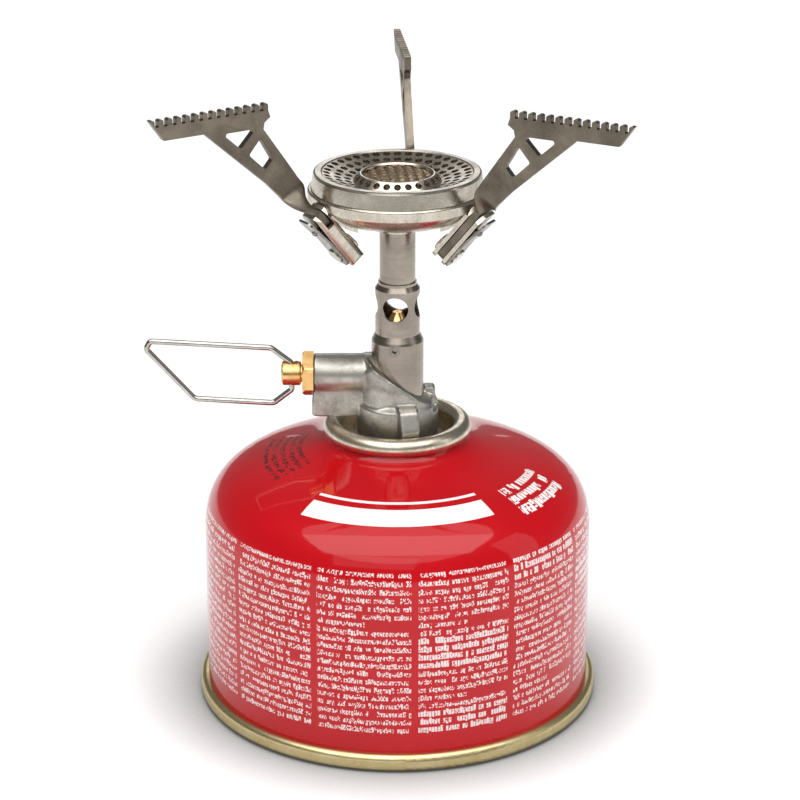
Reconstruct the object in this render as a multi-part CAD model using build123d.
from build123d import *
from math import asin, cos, degrees, radians, sin
import os

# Canister-top camping stove on a small screw-valve gas canister.
# Millimetres, +Z up. The origin is the centre of the circle the canister stands on.
# The valve arm and the wire key point along -X.

# ---- gas canister ----
SEAM_R = 45.0                 # rolled bottom seam, the widest ring of the canister
SEAM_HEIGHT = 3.9
SEAM_DEPTH = 2.3
CAN_R = 43.2
CAN_WALL = 0.5
SHOULDER_Z = 39.75            # where the straight wall turns into the dome
NECK_FOOT_R = 16.6
NECK_FOOT_Z = 59.6
NECK_R = 15.1
BASE_DOME = 5.0               # how far the base plate bows up into the canister

# ---- valve cup, crimped to the canister's neck ----
CURL_R = 14.35                # centre circle of the rolled rim
CURL_TUBE_R = 2.05
CURL_Z = 62.8
CUP_WALL = 0.45
CURL_LIP_DEG = -48.0          # where the rolled rim ends, under its outer side
CUP_FLOOR_Z = 58.1
THREAD_R = 5.55               # 7/16 inch boss that the stove screws on to
THREAD_TOP_Z = 66.0
BOSS_BORE_R = 4.6

# ---- stove inlet ----
PIN_R = 1.0
PIN_TIP_Z = 65.5
SEAL_R = 3.5
SEAL_TUBE_R = 0.85
INLET_TOP_Z = 68.0
FILTER_TOP_Z = 70.1

# ---- valve body ----
HUB_R = 9.0
HUB_BOTTOM_Z = 61.3
HUB_TOP_Z = 69.6
HUB_FLAT_X = 7.7               # flat on the side away from the arm
HUB_FLAT_Z = 67.2
LUG_AZIMUTH = -75.5
LUG_REACH = 11.8
SLEEVE_R = 7.5                # casting round the foot of the mixer tube
ARM_R = 4.46
ARM_Z = 75.0
ARM_END_X = -18.4
POST_R = 4.70                 # carries the jet inside the mixer tube
POST_TOP_Z = 84.2

# ---- valve spindle, its nut and the wire key ----
NUT_CORNER_R = 5.2
NUT_END_X = -20.9
SPINDLE_R = 2.0
SPINDLE_HEAD_R = 2.7
SPINDLE_END_X = -25.5
NEEDLE_R = 1.4
SEAT_X = -2.6
NEEDLE_BACK_X = -7.15          # shoulder between the needle's shank and its tail
TAIL_R = 0.9                   # threaded tail, inside the spindle's bore
TRAVEL_ROOM = 1.15             # behind the closed needle, a little over its 1 mm travel
KEY_HOLE_X = -23.35
WIRE_R = 0.65
RUNNING_FIT = 0.06            # radial clearance of every turning fit

# ---- mixer and burner tubes ----
COLLAR_R = 5.73
COLLAR_BOTTOM_Z = 70.3
COLLAR_TOP_Z = 83.0
MIXER_R = 4.90
MIXER_TOP_Z = 94.9
AIR_HOLE_R = 2.8
AIR_HOLE_Z = 91.1
AIR_HOLE_AZIMUTH = 263.4
GRUB_Z = 82.0
GRUB_R = 1.1
TUBE_R = 3.9
TUBE_WALL = 0.6
TUBE_BOTTOM_Z = 94.5
TUBE_TOP_Z = 110.4

# ---- burner head ----
CAP_R = 18.2
CAP_TOP_Z = 121.25
CAP_SKIRT_R = 18.65
CAP_SHEET = 0.6
SEAM_RING_R = 19.43
SEAM_RING_BOTTOM_Z = 115.0
SEAM_RING_TOP_Z = 117.55
CROWN_FOOT_R = 9.6
CROWN_FOOT_Z = 119.1
CROWN_R = 8.1
CROWN_Z = 120.75
FLAME_HOLE_R = 0.82
FLAME_HOLE_RINGS = ((15.25, 40), (12.9, 34), (10.8, 28))
CROWN_HOLES = 24
MESH_R = 7.45

# ---- pot supports ----
SUPPORT_AZIMUTHS = {"rear": 95.0, "left": 213.2, "right": 331.3}
POT_REST_Z = 139.2            # tips of the teeth
RAIL_INNER_R = 29.4
RAIL_OUTER_R = 57.2
RAIL_UNDER_Z = 134.7
SHEET = 1.5
PLATE_OFFSET = -4.86          # the upright plate stands this far clockwise of its radius
TEETH = 14
TOOTH_HEIGHT = 1.5
TOOTH_WIDTH = 1.15
HINGE_R = 13.3                # pivot rivet, from the stove's axis
HINGE_Z = 106.0
HINGE_OFFSET = -0.9
HINGE_SLOPE = 50.6            # the folding tab's slope above level
TAB_HALF_WIDTH = 2.8
TAB_LENGTH = 11.6
TWIST_LENGTH = 6.4
CLIP_GAP = 0.95               # from the middle of the tab to each leaf of its bracket
LEAF = 0.9
BLADE = 0.5                    # detent spring
RIVET_R = 1.2
RIVET_HEAD_R = 2.3


def revolved(*corners):
    """Solid of revolution about Z from its section's (radius, height) corners."""
    outline = Polyline(*[(r, 0, z) for r, z in corners], close=True)
    return revolve(make_face(outline), Axis.Z)


def disc(radius, bottom, top):
    """Upright cylinder on the Z axis between two heights."""
    return Pos(0, 0, bottom) * Cylinder(radius, top - bottom, align=(Align.CENTER, Align.CENTER, Align.MIN))


def rod_x(radius, start, end, height=ARM_Z):
    """Cylinder along X between two stations at the valve arm's height."""
    rod = Cylinder(radius, end - start, align=(Align.CENTER, Align.CENTER, Align.MIN))
    return Pos(start, 0, height) * Rot(0, 90, 0) * rod


def span(low, high):
    """Box between two opposite corners."""
    size = [b - a for a, b in zip(low, high)]
    return Pos(*low) * Box(*size, align=(Align.MIN, Align.MIN, Align.MIN))


def on_circle(centre, radius, angle):
    """(radius, height) of a point on a small circle of a turned section."""
    return centre[0] + radius * cos(radians(angle)), centre[1] + radius * sin(radians(angle))


def turned(*curves):
    """Solid of revolution about Z of the section that these lines and curves close."""
    edges = [edge for curve in curves for edge in curve.edges()]
    return revolve(make_face(edges), Axis.Z)


def section_arc(centre, radius, start, end):
    """Arc of a turned section, drawn through its middle."""
    angles = (start, (start + end) / 2, end)
    points = [on_circle(centre, radius, angle) for angle in angles]
    return ThreePointArc(*[(r, 0, z) for r, z in points])


# ---------------------------------------------------------------- gas canister

def make_can_shell():
    """Drawn steel shell: straight wall, dome, neck and the bead that the cup is rolled over."""
    bead_z = CURL_Z - 0.1
    neck_in = NECK_R - CAN_WALL
    outside = Bezier((CAN_R, 0, SHOULDER_Z), (CAN_R, 0, 56.4), (27.0, 0, 54.2), (NECK_FOOT_R, 0, NECK_FOOT_Z))
    inner_foot = (NECK_FOOT_R - 0.35, 0, NECK_FOOT_Z - CAN_WALL)
    inner_r = CAN_R - CAN_WALL
    inside = Bezier((inner_r, 0, SHOULDER_Z), (inner_r, 0, 55.7), (26.8, 0, 53.7), inner_foot)
    neck_out = Bezier((NECK_FOOT_R, 0, NECK_FOOT_Z), (NECK_R + 0.4, 0, 60.0), (NECK_R, 0, 61.2))
    neck_back = Bezier(inner_foot, (neck_in + 0.3, 0, 59.7), (neck_in, 0, 61.2))
    edges = [
        outside,
        inside,
        neck_out,
        neck_back,
        Line((CAN_R, 0, SEAM_HEIGHT), outside @ 0),
        Line((inner_r, 0, SEAM_HEIGHT), inside @ 0),
        Line((CAN_R, 0, SEAM_HEIGHT), (inner_r, 0, SEAM_HEIGHT)),
        Line(neck_out @ 1, (NECK_R, 0, bead_z)),
        Line(neck_back @ 1, (neck_in, 0, bead_z)),
        Line((NECK_R, 0, bead_z), (neck_in, 0, bead_z)),
    ]
    wall = turned(*edges)
    bead = Pos(0, 0, bead_z) * Torus(NECK_R - 0.9, 0.9)
    return wall + bead


def make_can_base():
    """Base plate, bowed up inside, with the rolled seam that the canister stands on."""
    inner = SEAM_R - SEAM_DEPTH
    seam = revolved((inner, 0), (SEAM_R, 0), (SEAM_R, SEAM_HEIGHT), (inner, SEAM_HEIGHT))
    seam = fillet(seam.edges().filter_by(GeomType.CIRCLE).sort_by(SortBy.RADIUS)[-2:], 1.3)
    seam = fillet(seam.edges().group_by(Axis.Z)[0].sort_by(SortBy.RADIUS)[0], 0.6)
    rise = BASE_DOME
    edge_z = 1.6
    bow_r = (inner ** 2 + rise ** 2) / (2 * rise)
    centre = (0, edge_z + rise - bow_r)
    half = degrees(asin(inner / bow_r)) + 0.6
    top = section_arc(centre, bow_r, 90, 90 - half)
    under = section_arc(centre, bow_r - CAN_WALL, 90, 90 - half)
    sides = [Line(top @ 0, under @ 0), Line(top @ 1, under @ 1)]
    plate = turned(top, under, *sides)
    return seam + plate


def make_valve_cup():
    """Pressed cup: rolled rim, well and the hollow threaded boss in its middle."""
    centre = (CURL_R, CURL_Z)
    tube_in = CURL_TUBE_R - CUP_WALL
    outer = section_arc(centre, CURL_TUBE_R, CURL_LIP_DEG, 180)
    inner = section_arc(centre, tube_in, CURL_LIP_DEG, 180)
    well = CURL_R - CURL_TUBE_R
    under_z = CUP_FLOOR_Z - CUP_WALL
    stem_hole = 2.3
    boss = Polyline(
        outer @ 1,
        (well, 0, CUP_FLOOR_Z + 0.7),
        (well - 0.7, 0, CUP_FLOOR_Z),
        (THREAD_R + 0.5, 0, CUP_FLOOR_Z),
        (THREAD_R, 0, CUP_FLOOR_Z + 0.5),
        (THREAD_R, 0, THREAD_TOP_Z - 0.4),
        (THREAD_R - 0.4, 0, THREAD_TOP_Z),
        (stem_hole, 0, THREAD_TOP_Z),
        (stem_hole, 0, THREAD_TOP_Z - 0.8),
        (BOSS_BORE_R, 0, THREAD_TOP_Z - 0.8),
        (BOSS_BORE_R, 0, under_z),
        (CURL_R - tube_in, 0, under_z),
        inner @ 1,
    )
    lip = Line(inner @ 0, outer @ 0)
    return turned(outer, boss, inner, lip)


def make_cup_gasket():
    """Rubber strip squeezed between the rolled rim and the bead of the neck."""
    centre = (CURL_R, CURL_Z)
    outer = section_arc(centre, 1.5, 20, 160)
    inner = section_arc(centre, 1.15, 20, 160)
    ends = [Line(outer @ 0, inner @ 0), Line(outer @ 1, inner @ 1)]
    return turned(outer, inner, *ends)


def make_valve_housing():
    """Moulded housing inside the boss, with a small gas inlet in its floor."""
    body = disc(BOSS_BORE_R - 0.1, 53.0, 64.1)
    return body - disc(3.2, 54.2, 65.0) - disc(0.8, 52.0, 55.0)


def make_stem_gasket():
    """Rubber washer that seals round the valve stem."""
    return disc(BOSS_BORE_R - 0.1, 64.15, 65.15) - disc(1.95 + RUNNING_FIT, 64.0, 66.0)


def make_valve_stem():
    """Stem, held down by the stove's pin, with its shoulder below the gasket."""
    stem = disc(1.95, 63.3, PIN_TIP_Z - 0.15) + disc(2.9, 62.2, 63.4) + disc(1.3, 59.8, 62.3)
    return stem - disc(0.5, 62.9, 66.0)


def make_valve_spring():
    """Coil spring that lifts the stem when the stove is taken off."""
    coil = Helix(pitch=1.35, height=6.75, radius=2.2, center=(0, 0, 54.75))
    section = Plane(origin=coil @ 0, z_dir=coil % 0) * Circle(0.25)
    return sweep(section, path=coil, is_frenet=True)


# ---------------------------------------------------------------- valve body

def make_valve_body():
    """Die-cast body: threaded hub, slanted sleeve, valve arm, jet post, web, lug and fin."""
    hub = chamfer(disc(HUB_R, HUB_BOTTOM_Z, HUB_TOP_Z).edges().group_by(Axis.Z)[-1], 1.0, 1.6)
    sleeve = disc(SLEEVE_R, HUB_TOP_Z - 1, 80.0)
    slope = -35.0
    above = Pos(-COLLAR_R, 0, 78.4) * Rot(0, -slope, 0) * span((-30, -20, 0), (40, 20, 30))
    body = hub + (sleeve - above)
    body += rod_x(ARM_R, ARM_END_X, 0)
    body += fillet(span((-18.9, -3.4, 65.9), (-8.0, 3.4, 69.4)).edges().filter_by(Axis.Z), 1.2)
    body += span((-18.3, -3.4, 69.0), (-8.0, 3.4, 73.0))
    body += web()
    body += lug() + fin()
    body -= span((HUB_FLAT_X, -4.5, HUB_FLAT_Z), (15, 0.8, 74))
    body -= disc(COLLAR_R + 0.05, COLLAR_BOTTOM_Z - 0.1, 90)
    body += disc(POST_R, COLLAR_BOTTOM_Z - 1, POST_TOP_Z)
    body += rod_x(ARM_R, -COLLAR_R - 1, 0)
    body -= disc(THREAD_R + 0.1, HUB_BOTTOM_Z - 1, THREAD_TOP_Z + 0.9)
    body -= disc(SEAL_R + SEAL_TUBE_R + 0.35, THREAD_TOP_Z, INLET_TOP_Z)
    body -= disc(4.45, INLET_TOP_Z - 0.1, FILTER_TOP_Z)
    body -= Pos(-3.5, 0, 0) * disc(0.7, FILTER_TOP_Z - 0.1, ARM_Z)
    body -= disc(1.2, ARM_Z, POST_TOP_Z) + disc(2.05, 81.0, POST_TOP_Z + 1)
    body -= rod_x(3.2, ARM_END_X - 1, -13.9) + rod_x(SPINDLE_R + RUNNING_FIT, -14, -7.0)
    body -= rod_x(NEEDLE_R + 0.2, -7.1, SEAT_X) + rod_x(0.5, SEAT_X - 0.1, 0)
    return body - grub_hole()


def web():
    """Sloping cheek that blends the arm into the front of the hub."""
    side = Plane.XZ * make_face(Polyline((-12.5, 72.0), (-5.5, 78.2), (7.4, 69.2), (8.0, 65.5),
                                         (-8.4, 65.5), (-9.6, 69.0), close=True))
    cheek = extrude(side, 7.2, both=True)
    return cheek & disc(8.3, 60, 80)


def lug():
    """Rib on the front of the hub, with a foot that just clears the cup's rim."""
    side = make_face(Polyline((7.0, 70.0), (8.8, 70.0), (10.2, 69.0), (LUG_REACH, 65.4), (LUG_REACH, 63.5),
                              (9.9, 63.5), (8.6, 61.8), (7.0, 61.8), close=True))
    side = fillet(side.vertices().sort_by(Axis.X)[-2:], 0.5)
    rib = extrude(Plane.XZ * side, 2.1, both=True)
    return Rot(0, 0, LUG_AZIMUTH) * rib


def fin():
    """Upright fin behind the mixer tube, a stop for the fingers."""
    blade = span((5.4, 1.2, 66.0), (8.4, 4.6, 71.2))
    return fillet(blade.edges().filter_by(Axis.Y).group_by(Axis.Z)[-1], 0.9)


def grub_hole():
    """Hole for the grub screw through the mixer tube into the post."""
    return Rot(0, 0, AIR_HOLE_AZIMUTH) * rod_x(GRUB_R + 0.03, 3.9, 6.5, GRUB_Z)


def make_grub_screw():
    """Socket grub screw that locks the mixer tube."""
    screw = rod_x(GRUB_R, 4.0, COLLAR_R - 0.05, GRUB_Z)
    socket = Pos(COLLAR_R - 0.7, 0, GRUB_Z) * Rot(0, 90, 0) * extrude(RegularPolygon(0.6, 6), 1.5)
    return Rot(0, 0, AIR_HOLE_AZIMUTH) * (screw - socket)


def make_inlet_pin():
    """Brass pin that opens the canister's valve, on a drilled flange."""
    pin = disc(PIN_R, PIN_TIP_Z, 68.2) + disc(4.4, 68.05, 69.05)
    holes = [loc * Cylinder(0.5, 3) for loc in PolarLocations(2.6, 3)]
    return pin - Pos(0, 0, 68.6) * Part(children=holes)


def make_inlet_filter():
    """Sintered filter disc over the inlet."""
    return disc(4.3, 69.15, 69.95)


def make_inlet_seal():
    """Rubber ring between the stove and the canister's boss."""
    return Pos(0, 0, THREAD_TOP_Z + 0.1 + SEAL_TUBE_R) * Torus(SEAL_R, SEAL_TUBE_R)


def make_jet():
    """Brass gas jet: thread, hexagon and nozzle cone."""
    hexagon = Pos(0, 0, POST_TOP_Z + 0.05) * extrude(RegularPolygon(2.9, 6), 2.4)
    cone = revolved((0, 86.6), (2.4, 86.6), (2.2, 87.4), (1.0, 89.3), (0, 89.3))
    jet = disc(2.0, 81.2, 84.4) + hexagon + cone
    return jet - disc(1.0, 81.0, 88.3) - disc(0.2, 88.0, 90.0)


# ---------------------------------------------------------------- spindle and wire key

def make_packing_nut():
    """Hexagonal brass nut that holds the spindle's seal."""
    hexagon = extrude(RegularPolygon(NUT_CORNER_R, 6, rotation=0), ARM_END_X - 0.05 - NUT_END_X)
    nut = Pos(NUT_END_X, 0, ARM_Z) * Rot(0, 90, 0) * hexagon
    crown = rod_x(NUT_CORNER_R - 0.1, NUT_END_X, ARM_END_X)
    crown = chamfer(crown.edges().group_by(Axis.X)[0], 0.5)
    nut = (nut & crown) + rod_x(3.15, ARM_END_X - 0.1, -15.2)
    return nut - rod_x(SPINDLE_R + RUNNING_FIT, -30, -10)


def make_packing_seal():
    """Seal ring round the spindle, squeezed by the nut."""
    return rod_x(3.1, -15.1, -14.0) - rod_x(SPINDLE_R + RUNNING_FIT, -16, -13)


def make_spindle():
    """Brass spindle: slotted head cross-drilled for the wire key, bored end that draws the needle back."""
    stem_end = NEEDLE_BACK_X - TRAVEL_ROOM
    stem = rod_x(SPINDLE_R, -21.3, stem_end) - rod_x(TAIL_R + RUNNING_FIT, stem_end - 3.2, stem_end + 1)
    head = chamfer(rod_x(SPINDLE_HEAD_R, SPINDLE_END_X, -21.25).edges(), 0.3)
    slot = span((SPINDLE_END_X - 1, -0.8, ARM_Z + 1.7), (-22.3, 0.8, ARM_Z + 4))
    hole = Pos(KEY_HOLE_X, 0, 0) * disc(WIRE_R + RUNNING_FIT, ARM_Z - 5, ARM_Z + 5)
    countersink = Pos(KEY_HOLE_X, 0, ARM_Z + 2.35) * Cone(0.7, 1.6, 0.8)
    return stem + head - slot - hole - countersink


def make_needle():
    """Steel needle: a cone that closes the seat, a guided shank and a tail drawn into the spindle."""
    shank = rod_x(NEEDLE_R, NEEDLE_BACK_X, -4.6)
    tail = rod_x(TAIL_R, NEEDLE_BACK_X - TRAVEL_ROOM - 1.9, NEEDLE_BACK_X)
    tip = Cone(0.35, NEEDLE_R, 1.9, align=(Align.CENTER, Align.CENTER, Align.MIN))
    return shank + tail + Pos(SEAT_X - 0.1, 0, ARM_Z) * Rot(0, -90, 0) * tip


def make_wire_key():
    """Spring-wire key bent to a flag shape, its two ends meeting in the spindle's hole."""
    gap = 0.3
    corners = [
        (KEY_HOLE_X, 0, ARM_Z + gap),
        (KEY_HOLE_X, 0, 77.4),
        (-27.8, 0, 80.9),
        (-54.3, 0, 82.4),
        (-55.3, 0, 80.6),
        (-44.9, 0, 69.0),
        (-27.4, 0, 68.0),
        (KEY_HOLE_X, 0, 71.2),
        (KEY_HOLE_X, 0, ARM_Z - gap),
    ]
    bends = (0.9, 1.6, 0.9, 0.9, 1.8, 1.6, 0.9)
    path = FilletPolyline(*corners, radius=bends)
    section = Plane(origin=path @ 0, z_dir=path % 0) * Circle(WIRE_R)
    return sweep(section, path=path)


# ---------------------------------------------------------------- mixer and burner

def make_mixer_tube():
    """Turned tube: collar over the post, air holes and a coned top."""
    outside = revolved((0, COLLAR_BOTTOM_Z), (COLLAR_R, COLLAR_BOTTOM_Z), (COLLAR_R, COLLAR_TOP_Z),
                       (COLLAR_R - 0.2, COLLAR_TOP_Z + 0.5), (MIXER_R, COLLAR_TOP_Z + 1.7),
                       (MIXER_R, MIXER_TOP_Z), (TUBE_R + 0.35, MIXER_TOP_Z + 1.0),
                       (TUBE_R + 0.35, MIXER_TOP_Z + 1.6), (0, MIXER_TOP_Z + 1.6))
    tube = outside - disc(POST_R + 0.05, 60, POST_TOP_Z + 0.1)
    tube -= disc(4.1, POST_TOP_Z, TUBE_BOTTOM_Z) + disc(TUBE_R + 0.03, 90, 100)
    for turn in (0, 90, 180, 270):
        tube -= Rot(0, 0, AIR_HOLE_AZIMUTH + turn) * rod_x(AIR_HOLE_R, 2.0, 8.0, AIR_HOLE_Z)
    slot_half = ARM_R + 0.05
    tube -= rod_x(slot_half, -8, -1.5) + span((-8, -slot_half, 60), (-1.5, slot_half, ARM_Z))
    return tube - grub_hole()


def make_burner_tube():
    """Plain tube that carries the mixture up to the burner head."""
    return disc(TUBE_R, TUBE_BOTTOM_Z + 0.05, TUBE_TOP_Z) - disc(TUBE_R - TUBE_WALL, 90, 115)


def make_burner_bowl():
    """Pressed bowl under the flame cap, with a collar over the burner tube and a flange."""
    sheet = 0.6
    solid = bowl_envelope(0.0, 116.25)
    hollow = bowl_envelope(sheet, 118.0)
    flange = revolved((17.0, 115.65), (SEAM_RING_R - 0.45, 115.65), (SEAM_RING_R - 0.45, 116.25), (17.0, 116.25))
    bowl = solid + flange - hollow
    collar = disc(TUBE_R + 0.65, 108.2, 109.7)
    return bowl + collar - disc(TUBE_R + 0.03, 100, 112)


def bowl_envelope(inset, top_z):
    """Solid inside the bowl's surface, moved in by a sheet thickness."""
    wall = 18.4 - inset
    curve = Bezier((13.9 - inset * 0.4, 0, 111.5 + inset), (17.0 - inset * 0.8, 0, 112.9 + inset),
                   (wall, 0, 115.0 + inset * 0.4))
    sides = Polyline(curve @ 1, (wall, 0, top_z), (0, 0, top_z), (0, 0, 109.2 + inset), (5.5, 0, 109.4 + inset),
                     curve @ 0)
    return turned(curve, sides)


def make_mixing_screen():
    """Perforated disc in the bowl that spreads the mixture."""
    screen = disc(17.6, 116.4, 116.8)
    holes = [loc * Cylinder(0.9, 2) for radius, count in ((6, 8), (11, 16)) for loc in PolarLocations(radius, count)]
    return screen - Pos(0, 0, 116.6) * Part(children=holes)


def make_seam_ring():
    """Rolled ring that clamps the cap's flange to the bowl's."""
    inner = 18.72
    ring = revolved((inner, SEAM_RING_BOTTOM_Z), (SEAM_RING_R, SEAM_RING_BOTTOM_Z),
                    (SEAM_RING_R, SEAM_RING_TOP_Z), (inner, SEAM_RING_TOP_Z))
    ring = fillet(ring.edges().filter_by(GeomType.CIRCLE).sort_by(SortBy.RADIUS)[-2:], 0.45)
    groove = disc(SEAM_RING_R - 0.4, 115.6, 116.95) - disc(inner - 1, 115, 117.5)
    return ring - groove


def make_burner_cap():
    """Pressed flame cap: skirt, rolled edge, dished ring of flame holes and a drilled crown."""
    flange_z = 116.3
    rim = SEAM_RING_R - 0.45
    sheet = CAP_SHEET
    cap = revolved(
        (rim, flange_z), (rim, flange_z + 0.6), (CAP_SKIRT_R, flange_z + 0.6), (CAP_SKIRT_R, 117.4),
        (CAP_R, CAP_TOP_Z - 0.5), (CAP_R - 0.15, CAP_TOP_Z - 0.15), (CAP_R - 0.5, CAP_TOP_Z),
        (16.5, CAP_TOP_Z), (16.2, CAP_TOP_Z - 0.2), (CROWN_FOOT_R + 0.3, CROWN_FOOT_Z + 0.1),
        (CROWN_FOOT_R, CROWN_FOOT_Z), (CROWN_R, CROWN_Z), (CROWN_R - 0.3, CROWN_Z + 0.05),
        (CROWN_R - 0.55, CROWN_Z - 0.25), (CROWN_R - 0.55, CROWN_Z - sheet),
        (CROWN_FOOT_R - 0.75, CROWN_FOOT_Z - sheet), (16.2, CAP_TOP_Z - 0.2 - sheet),
        (CAP_R - sheet, CAP_TOP_Z - 0.3 - sheet), (CAP_SKIRT_R - sheet, 117.2), (CAP_SKIRT_R - sheet, flange_z))
    return cap - flame_holes() - crown_holes()


def flame_holes():
    """Rings of holes through the dished part of the cap."""
    holes = []
    for index, (radius, count) in enumerate(FLAME_HOLE_RINGS):
        start = 180 / count * (index % 2)
        holes += [loc * Cylinder(FLAME_HOLE_R, 6) for loc in PolarLocations(radius, count, start)]
    return Pos(0, 0, 120) * Part(children=holes)


def crown_holes():
    """Holes square to the crown's sloping wall."""
    middle = ((CROWN_FOOT_R + CROWN_R) / 2, (CROWN_FOOT_Z + CROWN_Z) / 2)
    hole = Pos(middle[0], 0, middle[1]) * Rot(0, 45, 0) * Cylinder(0.75, 2.4)
    return Part(children=[Rot(0, 0, 360 / CROWN_HOLES * i) * hole for i in range(CROWN_HOLES)])


def make_flame_mesh():
    """Woven wire disc held under the crown's edge."""
    return disc(MESH_R, CROWN_Z - 1.15, CROWN_Z - CAP_SHEET - 0.05)


# ---------------------------------------------------------------- pot supports
# Each is drawn with its radius along +X and then turned to its azimuth.

def hinge_plane():
    """Plane of the folding tab: X up its slope, Y clockwise, Z outwards and down."""
    slope = radians(HINGE_SLOPE)
    return Plane(origin=(HINGE_R, HINGE_OFFSET, HINGE_Z), x_dir=(cos(slope), 0, sin(slope)),
                 z_dir=(sin(slope), 0, -cos(slope)))


def slope_point(along, out):
    """Radius and height of a point given up the tab's slope and square to it, from the rivet."""
    slope = radians(HINGE_SLOPE)
    return HINGE_R + along * cos(slope) + out * sin(slope), HINGE_Z + along * sin(slope) - out * cos(slope)


def upright_plate():
    """Laser-cut plate: toothed rail, braced arm and two windows."""
    rail_top = POT_REST_Z - TOOTH_HEIGHT
    arm_end = TAB_LENGTH + TWIST_LENGTH
    outline = [
        (RAIL_INNER_R, rail_top), (RAIL_INNER_R - 0.5, 136.2), (30.3, 135.2), (30.6, 133.8),
        slope_point(arm_end + 3.0, -3.45), slope_point(arm_end, -0.4 - TAB_HALF_WIDTH),
        slope_point(arm_end, -0.4 + TAB_HALF_WIDTH), slope_point(arm_end + 4.5, 2.75),
        (44.6, RAIL_UNDER_Z), (RAIL_OUTER_R - 2.8, RAIL_UNDER_Z), (RAIL_OUTER_R, rail_top),
    ]
    plate = make_face(Polyline(*outline, close=True))
    upper = fillet(make_face(Polyline((32.4, 134.1), (40.4, 134.1), (36.1, 130.3), close=True)).vertices(), 0.5)
    lower = make_face(Polyline((31.4, 131.9), (28.5, 127.0), (30.3, 125.0), (34.2, 128.7), close=True))
    lower = fillet(lower.vertices(), 0.5)
    plate = extrude(Plane.XZ * (plate - upper - lower), SHEET / 2, both=True)
    beyond = RAIL_OUTER_R + 2.0
    slant = make_face(Polyline((RAIL_OUTER_R, POT_REST_Z), (beyond, POT_REST_Z), (beyond, RAIL_UNDER_Z),
                               (RAIL_OUTER_R - 3.2, RAIL_UNDER_Z), close=True))
    plate = plate + teeth() - extrude(Plane.XZ * slant, SHEET, both=True)
    return Pos(0, PLATE_OFFSET, 0) * plate


def teeth():
    """Rounded teeth along the top of the rail."""
    pitch = (RAIL_OUTER_R - RAIL_INNER_R - TOOTH_WIDTH) / (TEETH - 1)
    half = TOOTH_WIDTH / 2
    profile = make_face(Polyline((-half, -0.5), (half, -0.5), (half, TOOTH_HEIGHT), (-half, TOOTH_HEIGHT), close=True))
    profile = fillet(profile.vertices().group_by(Axis.Y)[-1], 0.45)
    tooth = extrude(Plane.XZ * profile, SHEET / 2, both=True)
    foot = POT_REST_Z - TOOTH_HEIGHT
    return [Pos(RAIL_INNER_R + half + pitch * i, 0, foot) * tooth for i in range(TEETH)]


def twist():
    """The arm's quarter twist, from the upright plate down to the folding tab."""
    plane = hinge_plane()
    sections = []
    steps = 8
    for i in range(steps + 1):
        share = i / steps
        eased = share * share * (3 - 2 * share)
        turn = radians(90 * eased)
        wide = (-sin(turn), cos(turn))
        thick = (cos(turn), sin(turn))
        middle = ((1 - eased) * (HINGE_OFFSET - PLATE_OFFSET), -0.4 * (1 - eased))
        corners = []
        for a, b in ((1, 1), (1, -1), (-1, -1), (-1, 1)):
            side = middle[0] + a * TAB_HALF_WIDTH * wide[0] + b * SHEET / 2 * thick[0]
            out = middle[1] + a * TAB_HALF_WIDTH * wide[1] + b * SHEET / 2 * thick[1]
            corners.append(plane.from_local_coords(Vector(TAB_LENGTH + TWIST_LENGTH * (1 - share), side, out)))
        sections.append(make_face(Polyline(*corners, close=True)))
    return loft(sections, ruled=False)


def make_support(azimuth):
    """Pot support: upright plate, twisted arm and folding tab, all one sheet."""
    tab = Circle(TAB_HALF_WIDTH) + Pos(TAB_LENGTH / 2, 0) * Rectangle(TAB_LENGTH, 2 * TAB_HALF_WIDTH)
    tab = extrude(tab - Circle(RIVET_R + RUNNING_FIT), SHEET / 2, both=True)
    support = upright_plate() + twist() + hinge_plane() * tab
    return Rot(0, 0, azimuth) * support


def make_bracket(azimuth):
    """Folded clip with two leaves and a closed side, spot-welded under the bowl."""
    inside = CLIP_GAP
    outside = CLIP_GAP + LEAF
    closed = -TAB_HALF_WIDTH - 0.6
    open_side = TAB_HALF_WIDTH + 0.2
    low = -2.9
    top = 12.3
    clip = span((low, closed - LEAF, -outside), (top, open_side, outside))
    clip = fillet(clip.edges().filter_by(Axis.X).group_by(Axis.Y)[0], outside - 0.05)
    leaf = make_face(Polyline((low, closed - LEAF), (top - 1.4, closed - LEAF), (top, closed + 0.6),
                              (top, open_side - 1.6), (top - 1.6, open_side), (low, open_side), close=True))
    clip &= extrude(fillet(leaf.vertices().group_by(Axis.X)[0], 1.6), outside, both=True)
    room = span((low - 5, closed, -inside), (20, 10, inside))
    clip -= fillet(room.edges().filter_by(Axis.X).group_by(Axis.Y)[0], inside - 0.05)
    clip -= span((8.5, -10, -inside - 0.01), (20, 10, inside))
    clip -= Cylinder(RIVET_R + 0.02, 20)
    weld = make_face(Polyline((12.0, 110.0), (13.9, 110.75), (18.6, 114.3), (18.6, 115.6), (12.0, 112.6), close=True))
    weld = extrude(Plane.XZ * weld, 3.0, both=True)
    bracket = hinge_plane() * clip + weld
    clearance = bowl_envelope(-0.05, 116.3) + disc(SEAM_RING_R + 0.05, SEAM_RING_BOTTOM_Z - 0.05, 118)
    bracket = bracket - clearance
    return Rot(0, 0, azimuth) * max(bracket.solids(), key=lambda s: s.volume)


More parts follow.
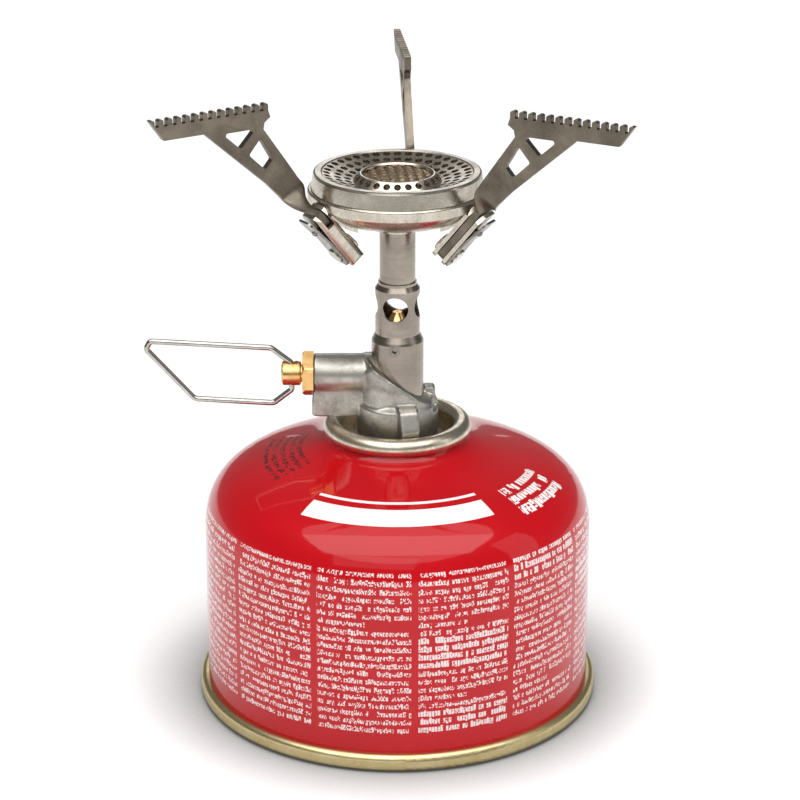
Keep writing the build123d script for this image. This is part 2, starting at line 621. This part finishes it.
def make_rivet(azimuth):
    """Pivot rivet with a head on each side."""
    inner = -CLIP_GAP - LEAF - 0.02
    outer = CLIP_GAP + LEAF + BLADE + 0.07
    shank = disc(RIVET_R, inner - 0.1, outer + 0.1)
    round_head = disc(RIVET_HEAD_R, inner - 0.7, inner)
    round_head = fillet(round_head.edges().group_by(Axis.Z)[0], 0.4)
    flat_head = disc(RIVET_HEAD_R - 0.4, outer, outer + 0.35)
    return Rot(0, 0, azimuth) * (hinge_plane() * (shank + round_head + flat_head))


def make_detent_spring(azimuth):
    """Flat spring outside each clip, riveted at its foot and lifting away at its tip."""
    foot = CLIP_GAP + LEAF + 0.05
    lift = 0.8
    side = make_face(Polyline((-2.7, foot), (4.5, foot), (11.9, foot + lift), (11.9, foot + lift + BLADE),
                              (4.4, foot + BLADE), (-2.7, foot + BLADE), close=True))
    outline = RectangleRounded(14.6, 5.0, 1.2)
    blade = extrude(Plane.XZ * side, 2.5, both=True) & Pos(4.6, 0, 0) * extrude(outline, 10, both=True)
    bump = Pos(7.8, 0, foot + 0.7) * Sphere(0.75)
    spring = blade + bump - Cylinder(RIVET_R + 0.02, 20)
    return Rot(0, 0, azimuth) * (hinge_plane() * spring)


PIECES = {
    "can_shell": make_can_shell,
    "can_base": make_can_base,
    "valve_cup": make_valve_cup,
    "cup_gasket": make_cup_gasket,
    "valve_housing": make_valve_housing,
    "stem_gasket": make_stem_gasket,
    "valve_stem": make_valve_stem,
    "valve_spring": make_valve_spring,
    "valve_body": make_valve_body,
    "grub_screw": make_grub_screw,
    "inlet_pin": make_inlet_pin,
    "inlet_filter": make_inlet_filter,
    "inlet_seal": make_inlet_seal,
    "gas_jet": make_jet,
    "packing_nut": make_packing_nut,
    "packing_seal": make_packing_seal,
    "spindle": make_spindle,
    "needle": make_needle,
    "wire_key": make_wire_key,
    "mixer_tube": make_mixer_tube,
    "burner_tube": make_burner_tube,
    "burner_bowl": make_burner_bowl,
    "mixing_screen": make_mixing_screen,
    "seam_ring": make_seam_ring,
    "burner_cap": make_burner_cap,
    "flame_mesh": make_flame_mesh,
}
SUPPORT_PIECES = {
    "support": make_support,
    "bracket": make_bracket,
    "rivet": make_rivet,
    "detent_spring": make_detent_spring,
}

os.makedirs("parts", exist_ok=True)
for name, make in PIECES.items():
    export_step(make(), f"parts/{name}.step")
for name, make in SUPPORT_PIECES.items():
    for place, azimuth in SUPPORT_AZIMUTHS.items():
        export_step(make(azimuth), f"parts/{name}_{place}.step")
